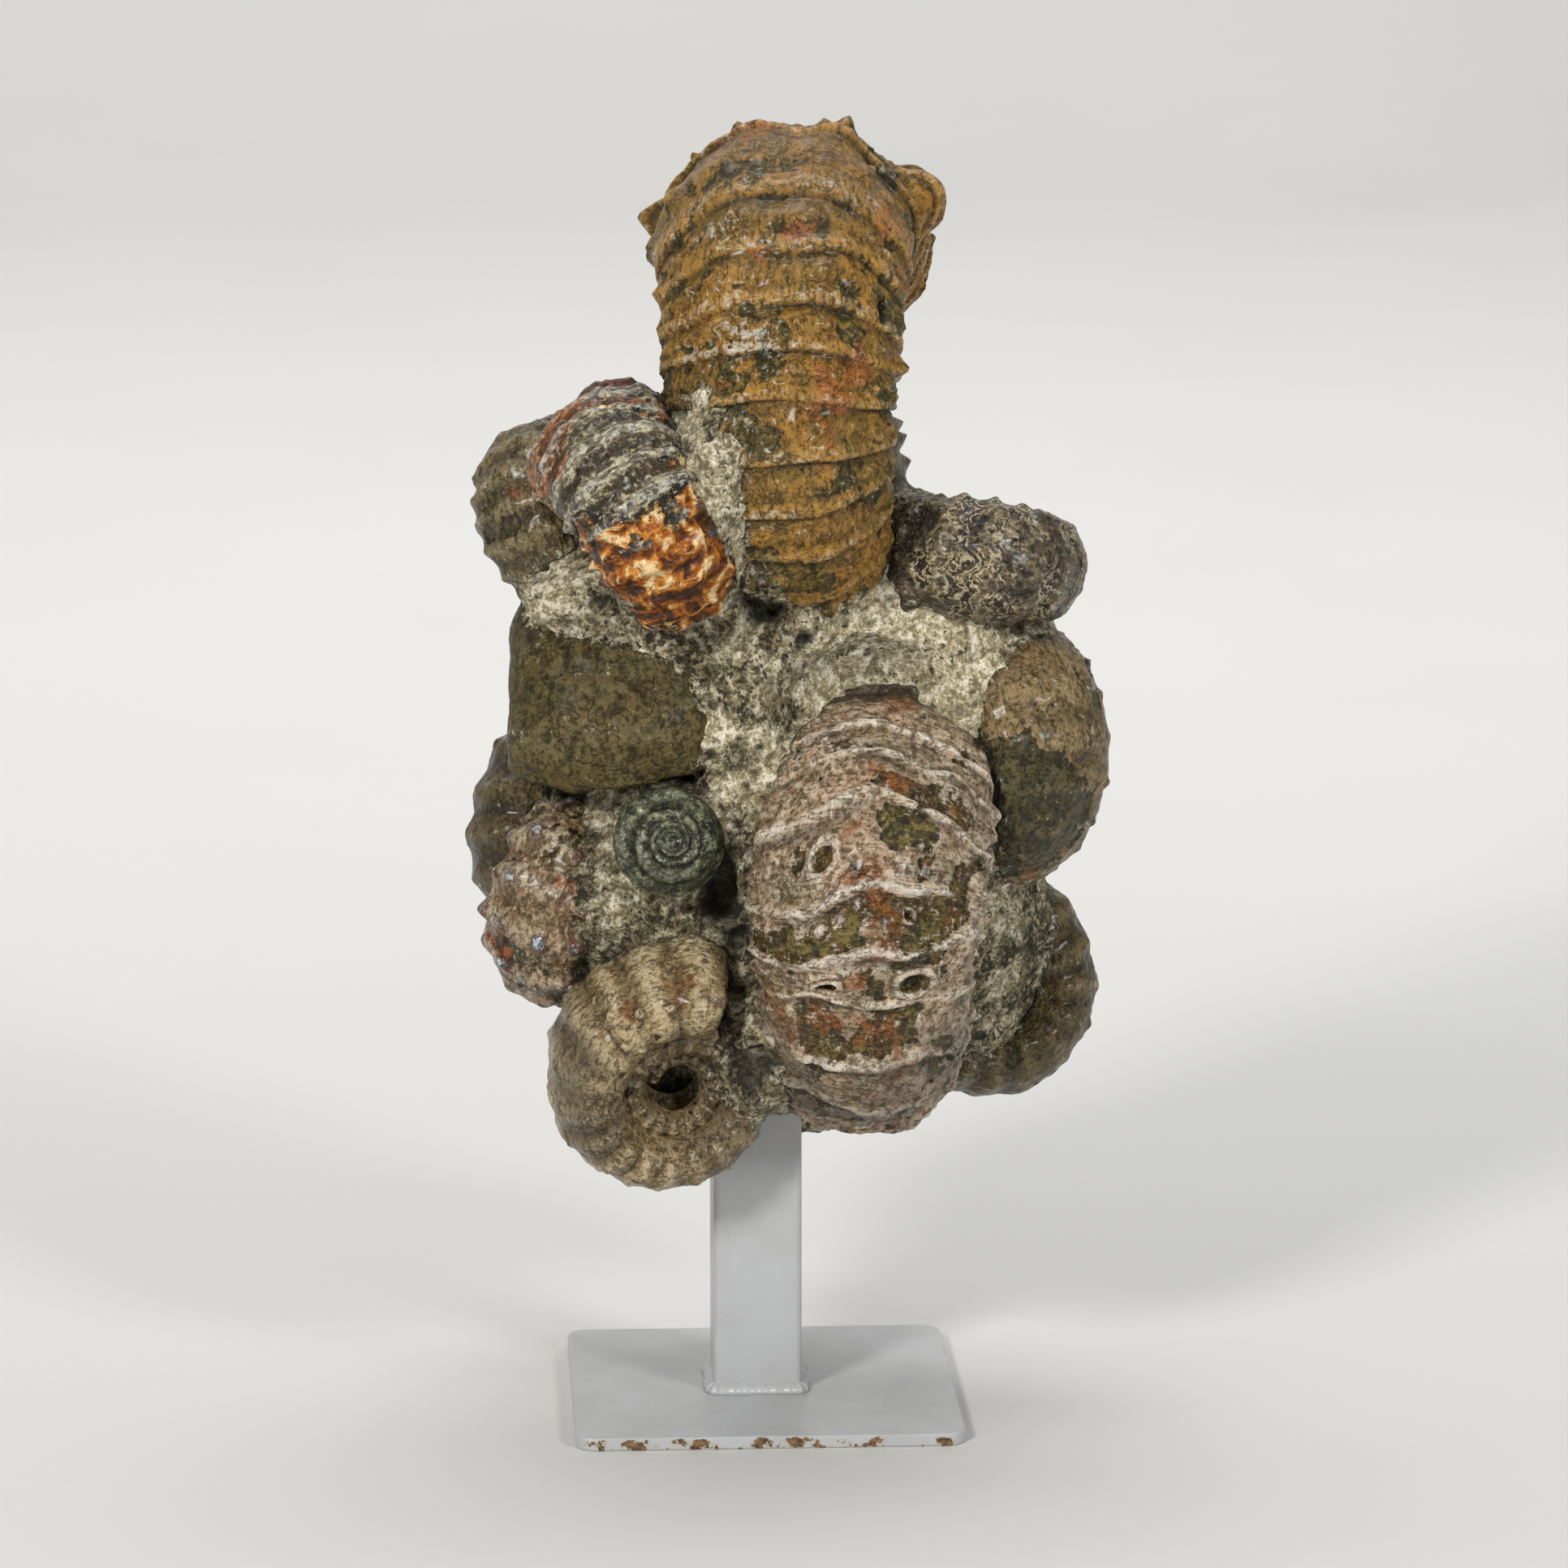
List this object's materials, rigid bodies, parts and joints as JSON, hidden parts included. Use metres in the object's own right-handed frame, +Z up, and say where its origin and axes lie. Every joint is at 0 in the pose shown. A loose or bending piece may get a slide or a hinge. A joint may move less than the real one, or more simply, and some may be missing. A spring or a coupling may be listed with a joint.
{
  "type": "ammonite fossil cluster on a stand",
  "caption": "Cluster of ribbed, knobbly ammonite fossils standing out of a lumpy sandstone block, held upright on a white square steel post welded to a square foot plate.",
  "frame": {"origin": "centre of the underside of the foot plate, where the stand rests on a surface", "axes": "+Z up the post, and the cluster's front with its two large shells faces -Y"},
  "size_m": [0.145, 0.1364, 0.2892],
  "materials": {
    "ochre_shell": "polished ochre-brown fossil shell with rusty and grey mottling",
    "pink_grey_shell": "polished pinkish-grey shell with olive windows and rust stains",
    "amber_calcite_shell": "glossy orange calcite with dark and cream flakes",
    "violet_shell": "purple-black mould with cream suture lines",
    "brown_shell": "satin brown and olive fossil shell",
    "olive_mould": "smooth satin dark olive internal mould",
    "beige_shell": "satin beige-brown fossil shell",
    "dull_brown_shell": "satin brown-olive fossil shell",
    "rust_shell": "olive and reddish-brown shell with sparkling crystals on its knobs",
    "grey_brown_shell": "satin grey-brown fossil shell",
    "dark_green_mould": "glossy dark green mould",
    "grey_shell": "satin grey fossil shell",
    "red_brown_shell": "satin red-brown fossil shell",
    "sandstone": "rough pale grey and cream sandstone with dark grains",
    "white_paint": "satin white paint on steel, chipped at the edges"
  },
  "bodies": {
    "root": {"ammonite_top": "ochre_shell", "ammonite_centre": "pink_grey_shell", "ammonite_amber": "amber_calcite_shell", "ammonite_sutured": "violet_shell", "ammonite_right": "brown_shell", "ammonite_olive": "olive_mould", "ammonite_spiral": "beige_shell", "ammonite_low_right": "dull_brown_shell", "ammonite_knobby": "rust_shell", "ammonite_left_shoulder": "grey_brown_shell", "ammonite_left_edge": "grey_brown_shell", "ammonite_dark_nucleus": "dark_green_mould", "ammonite_behind_top": "grey_shell", "ammonite_red_edge": "red_brown_shell", "ammonite_back_middle": "brown_shell", "ammonite_back_low": "beige_shell", "sandstone_matrix": "sandstone", "stand_post": "white_paint", "stand_plate": "white_paint"}
  },
  "joints": []
}
